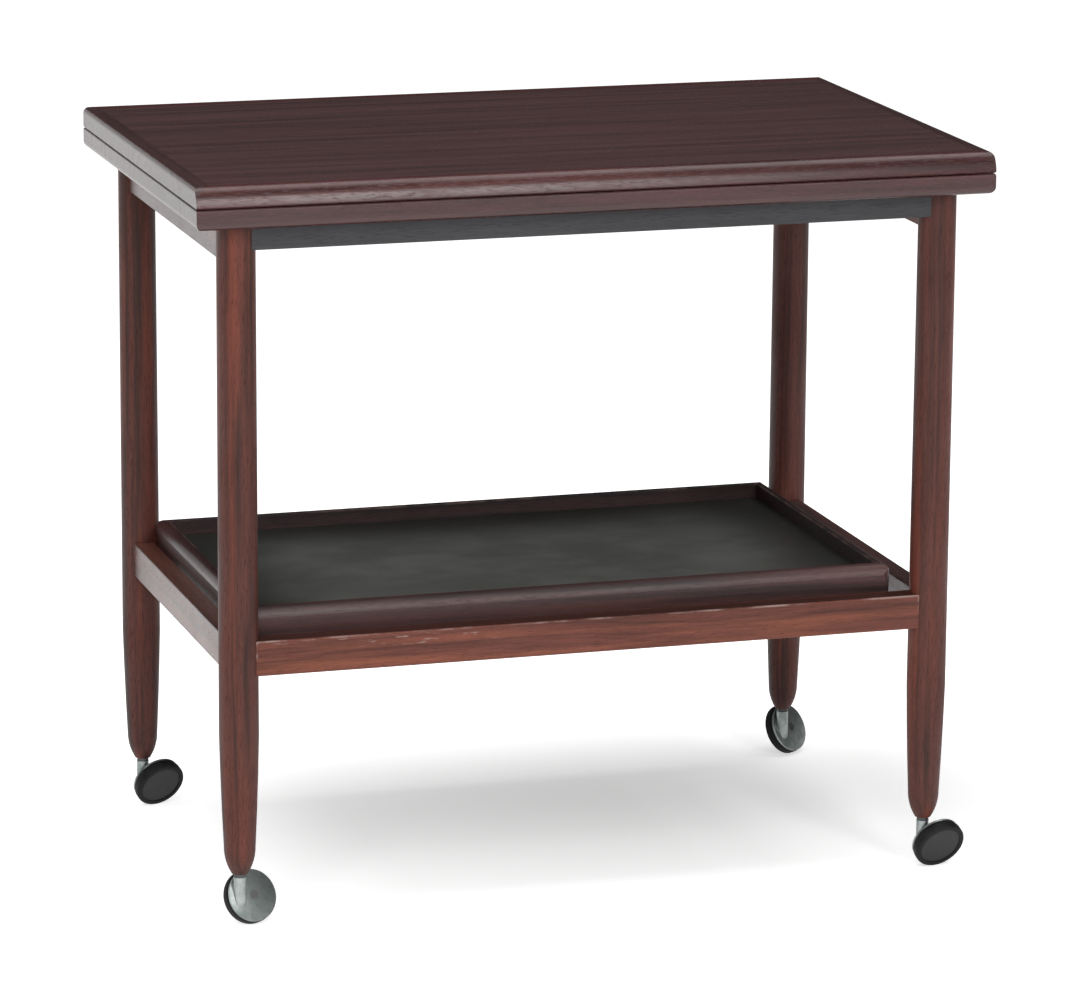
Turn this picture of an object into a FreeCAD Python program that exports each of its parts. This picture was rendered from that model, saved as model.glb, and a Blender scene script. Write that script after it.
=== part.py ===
import FreeCAD, Part
import math
import os

from FreeCAD import Placement, Rotation, Vector

# A tea trolley on castors: a fold-over top of two stacked leaves that slides forward on
# a leg frame, and a loose tray on the lower rails. Millimetres, +Z up, front towards -Y,
# origin on the floor under the middle of the whole trolley.

# Folded top
top_length = 750.0
leaf_depth = 464.0
leaf_thickness = 19.0
parting_gap = 0.8
upper_end_round = 5.5
lower_edge_round = 7.0
parting_ease = 0.8
front_ease = 1.5
# The upper leaf's front edge: a wide arc up to this turn in degrees, then a tighter one
nose_radius = 23.0
nose_turn = 45.0

# Turned legs, set in from the edges of the top
leg_length = 598.5
leg_end_inset = 43.5
leg_side_inset = 34.5
leg_top_radius = 17.5
leg_belly_radius = 18.2
leg_tip_radius = 7.5
leg_bullet_radius = 14.5
leg_bullet_height = 25.0
leg_taper_height = 130.0
# Height share and radius share of the middle point of each curve
leg_bullet_shares = (0.4, 0.66)
leg_taper_shares = (0.45, 0.54)

# Rails between the legs; proud is how far a rail's middle stands outside the leg axes
rail_thickness = 20.0
long_rail_thickness = 22.0
apron_proud = 3.5
long_rail_proud = 1.0
rail_arris = 1.5
upper_rail_height = 36.0
apron_height = 22.0
lower_rail_height = 32.5
lower_rail_rise = 186.5

# Dowels that join the rails to the legs
dowel_radius = 4.0
dowel_length = 36.0
dowel_web = 2.0
apron_dowel_shares = (0.5,)
upper_rail_dowel_shares = (0.5,)
lower_rail_dowel_shares = (0.27, 0.73)

# Runners under the lower leaf and the stopped grooves that guide them
slide_clearance = 0.3
groove_depth = 8.0
groove_height = 8.0
groove_drop = 12.0
groove_end_web = 2.0
runner_width = 24.0
runner_lip = 7.0
runner_screw_radius = 2.0
runner_screw_bite = 10.0
runner_screw_shares = (-0.36, 0.0, 0.36)

# Butt hinges let into the meeting faces at the back edge
hinge_end_inset = 120.0
hinge_length = 64.0
hinge_plate_width = 24.0
hinge_plate_thickness = 1.8
hinge_offset = 0.4
knuckle_radius = 3.2
knuckle_count = 5
knuckle_gap = 0.3
hinge_pin_radius = 1.6
hinge_screw_radius = 1.6
hinge_screw_length = 13.0
# Along the hinge from its middle, and across the plate from its pin
hinge_screw_shares = ((-0.36, 0.60), (0.0, 0.78), (0.36, 0.60))

# Tray: four mitred rims around a laminate board
tray_end_play = 10.5
tray_front_play = 6.5
tray_shift_share = 0.93
tray_sink = 6.5
tray_height = 30.0
tray_rim_round = 9.5
tray_crest = 2.5
tray_inner_round = 1.2
tray_rim_flare = 2.5
tray_corner_radius = 9.0
tray_well_depth = 15.0
tray_board_thickness = 5.0
tray_board_tongue = 6.0

# Ledges inside the lower front and back rails, which carry the tray
ledge_width = 16.0
ledge_height = 12.0
ledge_end_gap = 2.0
ledge_screw_radius = 1.75
ledge_screw_bite = 11.0
ledge_screw_shares = (-0.8, 0.0, 0.8)

# Tilted disc castors
wheel_radius = 25.0
wheel_width = 9.4
tyre_depth = 5.0
tyre_shoulder = 2.5
wheel_face_recess = 0.8
castor_tilt = 26.0
castor_trail = 14.0
castor_side_offset = 2.5
hood_radius = 24.2
hood_rim = 2.2
hood_dome = 2.6
dome_mid_share = 0.75
boss_radius = 5.8
boss_low_share = 0.84
foot_room = 1.9
axle_radius = 3.0
axle_web = 1.8
rivet_lip = 1.4
rivet_height = 1.0
rivet_recess = 1.3
stem_radius = 3.45
stem_reach = 29.0
stem_web = 1.5
stem_groove_depth = 0.6
stem_groove_width = 3.0
stem_groove_share = 0.8
socket_wall = 1.5
socket_end_room = 3.5
collar_lip = 0.6
collar_height = 3.2

# Fits, and the head of every screw against its shank
screw_head_share = 2.0
fit_gap = 0.05
running_clearance = 0.05
wheel_gap = 0.4
swivel_gap = 0.3
seat_gap = 0.2
recess_gap = 0.2
overrun = 5.0

# Where each castor stands in its swivel, in degrees, and the hand of its trail
castor_turns = {"front_left": 108.0, "front_right": 279.0, "back_left": 286.0, "back_right": 125.0}
castor_hands = {"front_left": -1, "front_right": 1, "back_left": 1, "back_right": -1}

# Heights, worked up from the floor
tilt = math.radians(castor_tilt)
wheel_outer_s = wheel_gap + wheel_width
axle_height = (
    (wheel_radius - tyre_shoulder) * math.cos(tilt)
    + (wheel_outer_s - tyre_shoulder) * math.sin(tilt)
    + tyre_shoulder
)
disc_top = axle_height + hood_radius * math.cos(tilt) + hood_rim * math.sin(tilt)
leg_tip_z = disc_top + foot_room
leg_top_z = leg_tip_z + leg_length
boss_top_z = leg_tip_z - collar_height - swivel_gap
# Low enough in the boss to hold, high enough to stay clear of the tilted wheel
stem_low_z = axle_height + (
    (stem_radius - castor_side_offset) * math.cos(tilt) + stem_web) / math.sin(tilt)
lower_rail_low_z = leg_tip_z + lower_rail_rise
lower_rail_top_z = lower_rail_low_z + lower_rail_height
upper_rail_low_z = leg_top_z - upper_rail_height
apron_low_z = leg_top_z - apron_height
lower_leaf_low_z = leg_top_z + slide_clearance
lower_leaf_top_z = lower_leaf_low_z + leaf_thickness
hinge_z = lower_leaf_top_z + parting_gap / 2
upper_leaf_low_z = lower_leaf_top_z + parting_gap
upper_leaf_top_z = upper_leaf_low_z + leaf_thickness
tray_low_z = lower_rail_top_z - tray_sink
ledge_top_z = tray_low_z - seat_gap

# Plan places, from the middle of the leaves; the knuckles behind them move the origin back
leg_x = top_length / 2 - leg_end_inset
leg_y = leaf_depth / 2 - leg_side_inset
knuckle_out = hinge_offset + knuckle_radius
leaf_front_y = -leaf_depth / 2
leaf_back_y = leaf_depth / 2
hinge_y = leaf_back_y + hinge_offset
hinge_x = top_length / 2 - hinge_end_inset
rail_half = rail_thickness / 2
rail_inner_x = leg_x - rail_half
rail_inner_y = leg_y + long_rail_proud - long_rail_thickness / 2
top_travel = leaf_depth / 2
leg_reach = max(leg_top_radius, leg_belly_radius)
groove_end_y = leg_y - leg_reach - groove_end_web
groove_low_z = leg_top_z - groove_drop - groove_height
tray_half_x = rail_inner_x - tray_end_play
tray_half_y = rail_inner_y - tray_front_play
tray_shift_x = -tray_end_play * tray_shift_share
ledge_half_x = leg_x - leg_reach - ledge_end_gap
origin_y = knuckle_out / 2
socket_bore = stem_radius + running_clearance
socket_radius = socket_bore + socket_wall
socket_length = stem_reach + stem_radius + socket_end_room
rivet_radius = axle_radius + rivet_lip

CORNERS = {
    "front_left": (-leg_x, -leg_y),
    "front_right": (leg_x, -leg_y),
    "back_left": (-leg_x, leg_y),
    "back_right": (leg_x, leg_y),
}
X_AXIS = Vector(1, 0, 0)
Y_AXIS = Vector(0, 1, 0)
Z_AXIS = Vector(0, 0, 1)
FULL_TURN = 360.0
QUARTER_TURN = 90.0


def box(low_x, high_x, low_y, high_y, low_z, high_z):
    """A block between two corners."""
    corner = Vector(low_x, low_y, low_z)
    return Part.makeBox(high_x - low_x, high_y - low_y, high_z - low_z, corner)


def rod(radius, start, end):
    """A round bar from one point to another."""
    along = end - start
    return Part.makeCylinder(radius, along.Length, start, along)


def line(start, end):
    """A straight edge."""
    return Part.LineSegment(start, end).toShape()


def arc(start, through, end):
    """A round edge through three points."""
    return Part.Arc(start, through, end).toShape()


def face_of(edges):
    """The flat face inside a closed chain of edges."""
    return Part.Face(Part.Wire(edges))


def polygon_face(points):
    """The flat face inside straight edges."""
    return Part.Face(Part.makePolygon(points + points[:1]))


def turned(edges):
    """A solid turned about Z from a half outline in the XZ plane."""
    return face_of(edges).revolve(Vector(0, 0, 0), Z_AXIS, FULL_TURN)


def quarter_arc(centre, radius, first, second):
    """A quarter round edge from centre + first to centre + second, both unit directions."""
    middle = (first + second).normalize()
    return arc(centre + first * radius, centre + middle * radius, centre + second * radius)


def screw(radius, length, head, direction):
    """A countersunk screw whose flat head face lies at head and which points along direction."""
    head_radius = radius * screw_head_share
    cone = Part.makeCone(head_radius, radius, head_radius - radius, head, direction)
    return cone.fuse(Part.makeCylinder(radius, length, head, direction)).removeSplitter()


def screw_hole(radius, length, head, direction):
    """The room for such a screw, open past its head."""
    way_out = Part.makeCylinder(radius * screw_head_share + fit_gap, overrun, head, -direction)
    return screw(radius + fit_gap, length + fit_gap, head, direction).fuse(way_out)


def leg_outline(extra):
    """A leg's turned solid about the Z axis, with extra on its radius."""
    def at(height, radius):
        return Vector(radius + extra, 0, leg_tip_z + height)

    def bowed(start, end, shares):
        height_share, radius_share = shares
        step = end - start
        return arc(start, start + Vector(step.x * radius_share, 0, step.z * height_share), end)

    tip = at(0, leg_tip_radius)
    bullet = at(leg_bullet_height, leg_bullet_radius)
    belly = at(leg_taper_height, leg_belly_radius)
    top = at(leg_length, leg_top_radius)
    axis_low = Vector(0, 0, tip.z)
    axis_high = Vector(0, 0, top.z)
    return turned([
        line(axis_low, tip), bowed(tip, bullet, leg_bullet_shares),
        bowed(bullet, belly, leg_taper_shares), line(belly, top), line(top, axis_high),
        line(axis_high, axis_low),
    ])


def dowel_ends(corner, along_x, proud, height):
    """The two ends of a dowel from inside a leg into the rail that meets it."""
    leg_axis_x, leg_axis_y = corner
    out_x = math.copysign(1, leg_axis_x)
    out_y = math.copysign(1, leg_axis_y)
    inner = dowel_radius + dowel_web
    outer = inner + dowel_length
    if along_x:
        middle_y = leg_axis_y + out_y * proud
        return (Vector(leg_axis_x - out_x * inner, middle_y, height),
                Vector(leg_axis_x - out_x * outer, middle_y, height))
    middle_x = leg_axis_x + out_x * proud
    return (Vector(middle_x, leg_axis_y - out_y * inner, height),
            Vector(middle_x, leg_axis_y - out_y * outer, height))


def all_dowels(extra):
    """Every dowel as a round bar, with extra on its radius and at both ends."""
    below_groove = groove_low_z - upper_rail_low_z
    rows = (
        (True, apron_proud, apron_low_z, apron_height, apron_dowel_shares),
        (False, 0, upper_rail_low_z, below_groove, upper_rail_dowel_shares),
        (True, long_rail_proud, lower_rail_low_z, lower_rail_height, lower_rail_dowel_shares),
        (False, 0, lower_rail_low_z, lower_rail_height, lower_rail_dowel_shares),
    )
    bars = []
    for along_x, proud, low_z, height, shares in rows:
        for corner in CORNERS.values():
            for share in shares:
                start, end = dowel_ends(corner, along_x, proud, low_z + share * height)
                reach = (end - start).normalize() * extra
                bars.append(rod(dowel_radius + extra, start - reach, end + reach))
    return bars


def socket_bar(radius, length, start_z):
    """Upright round bars on the four leg axes."""
    return [Part.makeCylinder(radius, length, Vector(x, y, start_z)) for x, y in CORNERS.values()]


def make_legs():
    """The four legs, drilled for their dowels and castor sockets."""
    drills = all_dowels(fit_gap)
    drills += socket_bar(socket_radius + fit_gap, socket_length + fit_gap, leg_tip_z)
    legs = {}
    for corner, (x, y) in CORNERS.items():
        leg = leg_outline(0)
        leg.translate(Vector(x, y, 0))
        legs["leg_" + corner] = leg.cut(drills)
    return legs


def make_sockets():
    """The castor sockets: a sleeve up each leg with a collar below its tip."""
    tubes = socket_bar(socket_radius, socket_length, leg_tip_z)
    collars = socket_bar(socket_radius + collar_lip, collar_height, leg_tip_z - collar_height)
    bores = socket_bar(socket_bore, socket_length + collar_height, leg_tip_z - collar_height)
    return [tube.fuse(collar).cut(bore) for tube, collar, bore in zip(tubes, collars, bores)]


def rail_bar(low_x, high_x, low_y, high_y, low_z, high_z):
    """A straight bar with its long edges eased."""
    block = box(low_x, high_x, low_y, high_y, low_z, high_z)
    longest = max(edge.Length for edge in block.Edges)
    long_edges = [edge for edge in block.Edges if edge.Length > longest - rail_arris]
    return block.makeFillet(rail_arris, long_edges)


def make_rails():
    """The eight rails, coped to the round legs, with the runners' grooves and dowel holes."""
    rails = {}
    for side, sign in (("front", -1), ("back", 1)):
        apron_y = sign * (leg_y + apron_proud)
        rail_y = sign * (leg_y + long_rail_proud)
        long_half = long_rail_thickness / 2
        rails["upper_apron_" + side] = rail_bar(
            -leg_x, leg_x, apron_y - rail_half, apron_y + rail_half, apron_low_z, leg_top_z)
        rails["lower_rail_" + side] = rail_bar(
            -leg_x, leg_x, rail_y - long_half, rail_y + long_half, lower_rail_low_z, lower_rail_top_z)
    for side, sign in (("left", -1), ("right", 1)):
        low_x = sign * leg_x - rail_half
        high_x = sign * leg_x + rail_half
        inner_x = sign * rail_inner_x
        groove_x = sign * (rail_inner_x + groove_depth)
        groove = box(
            min(inner_x, groove_x), max(inner_x, groove_x), -groove_end_y, groove_end_y,
            groove_low_z, groove_low_z + groove_height)
        upper = rail_bar(low_x, high_x, -leg_y, leg_y, upper_rail_low_z, leg_top_z)
        rails["upper_rail_" + side] = upper.cut(groove)
        rails["lower_rail_" + side] = rail_bar(
            low_x, high_x, -leg_y, leg_y, lower_rail_low_z, lower_rail_top_z)
    cutters = all_dowels(fit_gap)
    for x, y in CORNERS.values():
        cope = leg_outline(fit_gap)
        cope.translate(Vector(x, y, 0))
        cutters.append(cope)
    return {name: whole_middle(rail.cut(cutters)) for name, rail in rails.items()}


def whole_middle(shape):
    """The largest solid of a cut, without the offcuts beyond the legs."""
    return max(shape.Solids, key=lambda solid: solid.Volume)


def ledge_screw_heads():
    """Head place and direction of each screw through a ledge."""
    places = []
    for sign in (-1, 1):
        for share in ledge_screw_shares:
            head = Vector(share * ledge_half_x, sign * (rail_inner_y - ledge_width),
                          ledge_top_z - ledge_height / 2)
            places.append((head, Vector(0, sign, 0)))
    return places


def make_ledges(rails):
    """The two ledges and their screws; the rails are drilled for the screws."""
    length = ledge_width + ledge_screw_bite
    places = ledge_screw_heads()
    holes = [screw_hole(ledge_screw_radius, length, head, way) for head, way in places]
    ledges = {}
    for side, sign in (("front", -1), ("back", 1)):
        near_y = sign * rail_inner_y
        far_y = sign * (rail_inner_y - ledge_width)
        ledge = box(-ledge_half_x, ledge_half_x, min(near_y, far_y), max(near_y, far_y),
                    ledge_top_z - ledge_height, ledge_top_z)
        ledges["tray_ledge_" + side] = ledge.cut(holes)
        rails["lower_rail_" + side] = rails["lower_rail_" + side].cut(holes)
    screws = [screw(ledge_screw_radius, length, head, way) for head, way in places]
    ledges["tray_ledge_screws"] = Part.makeCompound(screws)
    return ledges


def leaf_edges(board, height, along_x):
    """A leaf's edges at a height: its front edge along X, or those at its two ends."""
    edges = []
    for edge in board.Edges:
        level = all(abs(corner.Z - height) < fit_gap for corner in edge.Vertexes)
        at_back = all(abs(corner.Y - leaf_back_y) < fit_gap for corner in edge.Vertexes)
        is_long = edge.BoundBox.XLength > edge.BoundBox.YLength
        if level and not at_back and is_long == along_x:
            edges.append(edge)
    return edges


def eased(board, height):
    """A leaf with its free edges at the parting taken off; its back edge stays square."""
    opened = board.makeChamfer(front_ease, leaf_edges(board, height, True))
    return opened.makeChamfer(parting_ease, leaf_edges(opened, height, False))


def leaf_block(low_z):
    """A leaf's square board."""
    half = top_length / 2
    return box(-half, half, leaf_front_y, leaf_back_y, low_z, low_z + leaf_thickness)


def lower_board():
    """The lower leaf, rounded below along its front and ends."""
    block = leaf_block(lower_leaf_low_z)
    edges = leaf_edges(block, lower_leaf_low_z, True) + leaf_edges(block, lower_leaf_low_z, False)
    return eased(block.makeFillet(lower_edge_round, edges), lower_leaf_top_z)


def nose_block():
    """All that lies behind the upper leaf's round front edge, past both ends."""
    turn = math.radians(nose_turn)
    crown_radius = (leaf_thickness - nose_radius * math.sin(turn)) / (1 - math.sin(turn))
    wide_y = leaf_front_y + nose_radius
    crown_y = wide_y - (nose_radius - crown_radius) * math.cos(turn)
    crown_z = upper_leaf_top_z - crown_radius

    def on_arc(middle_y, middle_z, radius, angle):
        return Vector(-top_length / 2 - overrun, middle_y - radius * math.cos(angle),
                      middle_z + radius * math.sin(angle))

    foot = on_arc(wide_y, upper_leaf_low_z, nose_radius, 0)
    bend = on_arc(wide_y, upper_leaf_low_z, nose_radius, turn)
    crest = on_arc(crown_y, crown_z, crown_radius, math.pi / 2)
    low = upper_leaf_low_z - overrun
    back = leaf_back_y + overrun
    return face_of([
        line(Vector(foot.x, foot.y, low), foot),
        arc(foot, on_arc(wide_y, upper_leaf_low_z, nose_radius, turn / 2), bend),
        arc(bend, on_arc(crown_y, crown_z, crown_radius, (turn + math.pi / 2) / 2), crest),
        line(crest, Vector(foot.x, back, crest.z)),
        line(Vector(foot.x, back, crest.z), Vector(foot.x, back, low)),
        line(Vector(foot.x, back, low), Vector(foot.x, foot.y, low)),
    ]).extrude(X_AXIS * (top_length + 2 * overrun))


def upper_board():
    """The upper leaf, rounded above at its ends and along its whole front edge."""
    block = leaf_block(upper_leaf_low_z)
    ends = block.makeFillet(upper_end_round, leaf_edges(block, upper_leaf_top_z, False))
    return eased(ends.common(nose_block()), upper_leaf_low_z)


def hinge_screw_heads(middle_x, side):
    """Head place and direction of a plate's screws; side is -1 below the parting, 1 above."""
    face_z = hinge_z + side * parting_gap / 2
    places = []
    for along, across in hinge_screw_shares:
        head = Vector(middle_x + along * hinge_length, hinge_y - across * hinge_plate_width, face_z)
        places.append((head, Vector(0, 0, side)))
    return places


def hinge_seat(middle_x, side):
    """The recess that a hinge plate, its knuckles and its screws take out of a leaf."""
    half = hinge_length / 2 + recess_gap
    face_z = hinge_z + side * parting_gap / 2
    deep_z = face_z + side * (hinge_plate_thickness + fit_gap)
    seat = box(middle_x - half, middle_x + half,
               hinge_y - hinge_plate_width - recess_gap, hinge_y + overrun,
               min(hinge_z, deep_z), max(hinge_z, deep_z))
    groove = rod(knuckle_radius + knuckle_gap,
                 Vector(middle_x - half, hinge_y, hinge_z), Vector(middle_x + half, hinge_y, hinge_z))
    holes = [screw_hole(hinge_screw_radius, hinge_screw_length, head, way)
             for head, way in hinge_screw_heads(middle_x, side)]
    return [seat, groove] + holes


def hinge_plate(middle_x, side):
    """One plate of a butt hinge with every other knuckle, and holes for its pin and screws."""
    half = hinge_length / 2
    pitch = hinge_length / knuckle_count
    face_z = hinge_z + side * parting_gap / 2
    back_z = face_z + side * hinge_plate_thickness
    plate = box(middle_x - half, middle_x + half, hinge_y - hinge_plate_width, hinge_y,
                min(face_z, back_z), max(face_z, back_z))
    first = 0 if side < 0 else 1
    for index in range(knuckle_count):
        start = Vector(middle_x - half + index * pitch, hinge_y, hinge_z)
        end = start + X_AXIS * pitch
        inset = X_AXIS * (knuckle_gap / 2)
        if index % 2 == first:
            plate = plate.fuse(rod(knuckle_radius, start + inset, end - inset))
        else:
            plate = plate.cut(rod(knuckle_radius + knuckle_gap, start - inset, end + inset))
    pin_hole = rod(hinge_pin_radius + running_clearance,
                   Vector(middle_x - half - overrun, hinge_y, hinge_z),
                   Vector(middle_x + half + overrun, hinge_y, hinge_z))
    holes = [screw_hole(hinge_screw_radius, hinge_screw_length, head, way)
             for head, way in hinge_screw_heads(middle_x, side)]
    return plate.cut([pin_hole] + holes).removeSplitter()


def make_hinges():
    """Both hinges: plates, pins and screws."""
    pieces = {}
    screws = {"hinge_fixed_screws": [], "hinge_moving_screws": []}
    for hand, middle_x in (("left", -hinge_x), ("right", hinge_x)):
        for kind, side in (("fixed", -1), ("moving", 1)):
            pieces["hinge_" + hand + "_" + kind + "_plate"] = hinge_plate(middle_x, side)
            for head, way in hinge_screw_heads(middle_x, side):
                screws["hinge_" + kind + "_screws"].append(
                    screw(hinge_screw_radius, hinge_screw_length, head, way))
        half = X_AXIS * (hinge_length / 2)
        middle = Vector(middle_x, hinge_y, hinge_z)
        pieces["hinge_" + hand + "_pin"] = rod(hinge_pin_radius, middle - half, middle + half)
    for name, group in screws.items():
        pieces[name] = Part.makeCompound(group)
    return pieces


def runner_places():
    """The ends of the runners along Y, their underside and their screws' heads."""
    length = 2 * groove_end_y - top_travel - 2 * slide_clearance
    back_y = groove_end_y - slide_clearance
    low_z = groove_low_z + slide_clearance - runner_lip
    heads = []
    for sign in (-1, 1):
        middle_x = sign * (rail_inner_x - slide_clearance - runner_width / 2)
        for share in runner_screw_shares:
            heads.append(Vector(middle_x, back_y - length / 2 + share * length, low_z))
    return back_y - length, back_y, low_z, heads


def make_runners():
    """The two runners with the tongues that ride in the rails' grooves, and their screws."""
    front_y, back_y, low_z, heads = runner_places()
    screw_length = lower_leaf_low_z - low_z + runner_screw_bite
    holes = [screw_hole(runner_screw_radius, screw_length, head, Z_AXIS) for head in heads]
    pieces = {}
    for side, sign in (("left", -1), ("right", 1)):
        outer_x = rail_inner_x - slide_clearance
        tongue_x = rail_inner_x + groove_depth - slide_clearance
        tongue_low_z = groove_low_z + slide_clearance
        tongue_high_z = groove_low_z + groove_height - slide_clearance
        outline = [
            (outer_x - runner_width, low_z), (outer_x, low_z), (outer_x, tongue_low_z),
            (tongue_x, tongue_low_z), (tongue_x, tongue_high_z), (outer_x, tongue_high_z),
            (outer_x, lower_leaf_low_z), (outer_x - runner_width, lower_leaf_low_z),
        ]
        section = polygon_face([Vector(sign * x, front_y, z) for x, z in outline])
        pieces["slide_runner_" + side] = section.extrude(Y_AXIS * (back_y - front_y)).cut(holes)
    screws = [screw(runner_screw_radius, screw_length, head, Z_AXIS) for head in heads]
    pieces["slide_runner_screws"] = Part.makeCompound(screws)
    return pieces, holes


def make_top():
    """Both leaves, the runners and the hinges."""
    pieces, runner_holes = make_runners()
    pieces.update(make_hinges())
    lower_cuts = hinge_seat(-hinge_x, -1) + hinge_seat(hinge_x, -1) + runner_holes
    pieces["lower_leaf"] = lower_board().cut(lower_cuts)
    pieces["upper_leaf"] = upper_board().cut(hinge_seat(-hinge_x, 1) + hinge_seat(hinge_x, 1))
    return pieces


def rim_section(outer, place):
    """A tray rim's section; place turns a distance outward and a height into a point."""
    bend = tray_low_z + tray_height - tray_rim_round
    crest_z = tray_low_z + tray_height
    foot = outer - tray_rim_flare
    shoulder = outer - tray_rim_round
    inner = shoulder - tray_crest
    up = place(0, 1) - place(0, 0)
    outward = place(1, 0) - place(0, 0)
    return face_of([
        line(place(inner, tray_low_z), place(foot, tray_low_z)),
        line(place(foot, tray_low_z), place(outer, bend)),
        quarter_arc(place(shoulder, bend), tray_rim_round, outward, up),
        line(place(shoulder, crest_z), place(inner + tray_inner_round, crest_z)),
        quarter_arc(place(inner + tray_inner_round, crest_z - tray_inner_round), tray_inner_round,
                    up, -outward),
        line(place(inner, crest_z - tray_inner_round), place(inner, tray_low_z)),
    ])


def mitre_wedge(half_long, half_deep, along_x, sign):
    """The upright wedge of the tray's plan that one mitred rim keeps."""
    low_z = tray_low_z - overrun
    reach = tray_rim_round + tray_crest + overrun
    inner_long = half_long - reach
    inner_deep = half_deep - reach
    if along_x:
        points = [(-half_long, sign * half_deep), (half_long, sign * half_deep),
                  (inner_long, sign * inner_deep), (-inner_long, sign * inner_deep)]
    else:
        points = [(sign * half_long, -half_deep), (sign * half_long, half_deep),
                  (sign * inner_long, inner_deep), (sign * inner_long, -inner_deep)]
    corners = [Vector(x, y, low_z) for x, y in points]
    return polygon_face(corners).extrude(Z_AXIS * (tray_height + 2 * overrun))


def tray_plan():
    """The tray's rounded plan as an upright block."""
    block = box(-tray_half_x, tray_half_x, -tray_half_y, tray_half_y,
                tray_low_z - overrun, tray_low_z + tray_height + overrun)
    upright = [edge for edge in block.Edges if edge.BoundBox.ZLength > tray_height]
    return block.makeFillet(tray_corner_radius, upright)


def make_tray():
    """The tray's four rims and the board that they hold."""
    inset = tray_rim_round + tray_crest - tray_board_tongue
    board_top_z = tray_low_z + tray_height - tray_well_depth
    board_half_x = tray_half_x - inset
    board_half_y = tray_half_y - inset
    board = box(-board_half_x, board_half_x, -board_half_y, board_half_y,
                board_top_z - tray_board_thickness, board_top_z)
    groove = box(-board_half_x - fit_gap, board_half_x + fit_gap,
                 -board_half_y - fit_gap, board_half_y + fit_gap,
                 board_top_z - tray_board_thickness - fit_gap, board_top_z + fit_gap)
    plan = tray_plan()
    pieces = {"tray_board": board}
    for side, sign in (("front", -1), ("back", 1)):
        section = rim_section(tray_half_y, lambda out, z: Vector(-tray_half_x, sign * out, z))
        rim = section.extrude(X_AXIS * (2 * tray_half_x))
        wedge = mitre_wedge(tray_half_x, tray_half_y, True, sign)
        pieces["tray_rim_" + side] = rim.common(wedge).common(plan).cut(groove)
    for side, sign in (("left", -1), ("right", 1)):
        section = rim_section(tray_half_x, lambda out, z: Vector(sign * out, -tray_half_y, z))
        rim = section.extrude(Y_AXIS * (2 * tray_half_y))
        wedge = mitre_wedge(tray_half_x, tray_half_y, False, sign)
        pieces["tray_rim_" + side] = rim.common(wedge).common(plan).cut(groove)
    for piece in pieces.values():
        piece.translate(Vector(tray_shift_x, 0, 0))
    return pieces


def disc_placement(hand):
    """From a disc's own axis along Z to its tilted place beside an upright stem at the origin."""
    turn = Rotation(Y_AXIS, QUARTER_TURN + castor_tilt)
    return Placement(Vector(castor_side_offset, hand * castor_trail, axle_height), turn)


def tilted(shape, hand):
    """A copy of a disc piece in its tilted place."""
    moved = shape.copy()
    moved.Placement = disc_placement(hand)
    return moved


def hood_disc():
    """The hood's domed disc about its own axis, back face at height zero."""
    edge = Vector(hood_radius, 0, -hood_rim)
    middle = Vector(hood_radius / 2, 0, -hood_rim - dome_mid_share * hood_dome)
    crown = Vector(0, 0, -hood_rim - hood_dome)
    centre = Vector(0, 0, 0)
    rim = Vector(hood_radius, 0, 0)
    return turned([line(centre, rim), line(rim, edge), arc(edge, middle, crown), line(crown, centre)])


def castor_hood(hand):
    """The metal hood: domed disc and upright boss, bored for the stem and the axle."""
    boss_low_z = axle_height * boss_low_share
    boss = Part.makeCylinder(boss_radius, boss_top_z - boss_low_z, Vector(0, 0, boss_low_z))
    boss = boss.fuse(Part.makeSphere(boss_radius, Vector(0, 0, boss_low_z)))
    reach = wheel_radius * 2
    wheel_side = tilted(box(-reach, reach, -reach, reach, 0, reach), hand)
    boss = boss.cut(wheel_side)
    crown = -hood_rim - hood_dome
    outside = Vector(0, 0, crown - overrun)
    recess = Part.makeCylinder(rivet_radius + fit_gap, rivet_recess + overrun, outside)
    bore = Part.makeCylinder(axle_radius + fit_gap, overrun - crown, outside)
    stem_bore = rod(stem_radius + fit_gap, Vector(0, 0, stem_low_z - fit_gap),
                    Vector(0, 0, boss_top_z + overrun))
    hood = tilted(hood_disc(), hand).fuse(boss).removeSplitter()
    return hood.cut([tilted(recess, hand), tilted(bore, hand), stem_bore])


def castor_stem():
    """The upright stem with its snap groove and rounded end."""
    high_z = leg_tip_z + stem_reach
    stem = rod(stem_radius, Vector(0, 0, stem_low_z), Vector(0, 0, high_z))
    stem = stem.fuse(Part.makeSphere(stem_radius, Vector(0, 0, high_z)))
    groove_z = leg_tip_z + stem_groove_share * stem_reach
    ring = Part.makeCylinder(stem_radius + overrun, stem_groove_width, Vector(0, 0, groove_z))
    core = Part.makeCylinder(stem_radius - stem_groove_depth, stem_groove_width, Vector(0, 0, groove_z))
    return stem.cut(ring.cut(core)).removeSplitter()


def castor_axle():
    """The axle with its rivet head in the hood's recess, about its own axis."""
    seat = -hood_rim - hood_dome + rivet_recess
    end = wheel_outer_s - wheel_face_recess - axle_web
    shank = Part.makeCylinder(axle_radius, end - seat, Vector(0, 0, seat))
    head = Part.makeCylinder(rivet_radius, rivet_height, Vector(0, 0, seat - rivet_height))
    return shank.fuse(head).removeSplitter()


def castor_wheel():
    """The wheel's disc with its blind bore, about its own axis."""
    core_radius = wheel_radius - tyre_depth
    face = wheel_outer_s - wheel_face_recess
    disc = Part.makeCylinder(core_radius, face - wheel_gap, Vector(0, 0, wheel_gap))
    bore_depth = face - axle_web + running_clearance
    return disc.cut(Part.makeCylinder(axle_radius + running_clearance, bore_depth))


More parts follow.
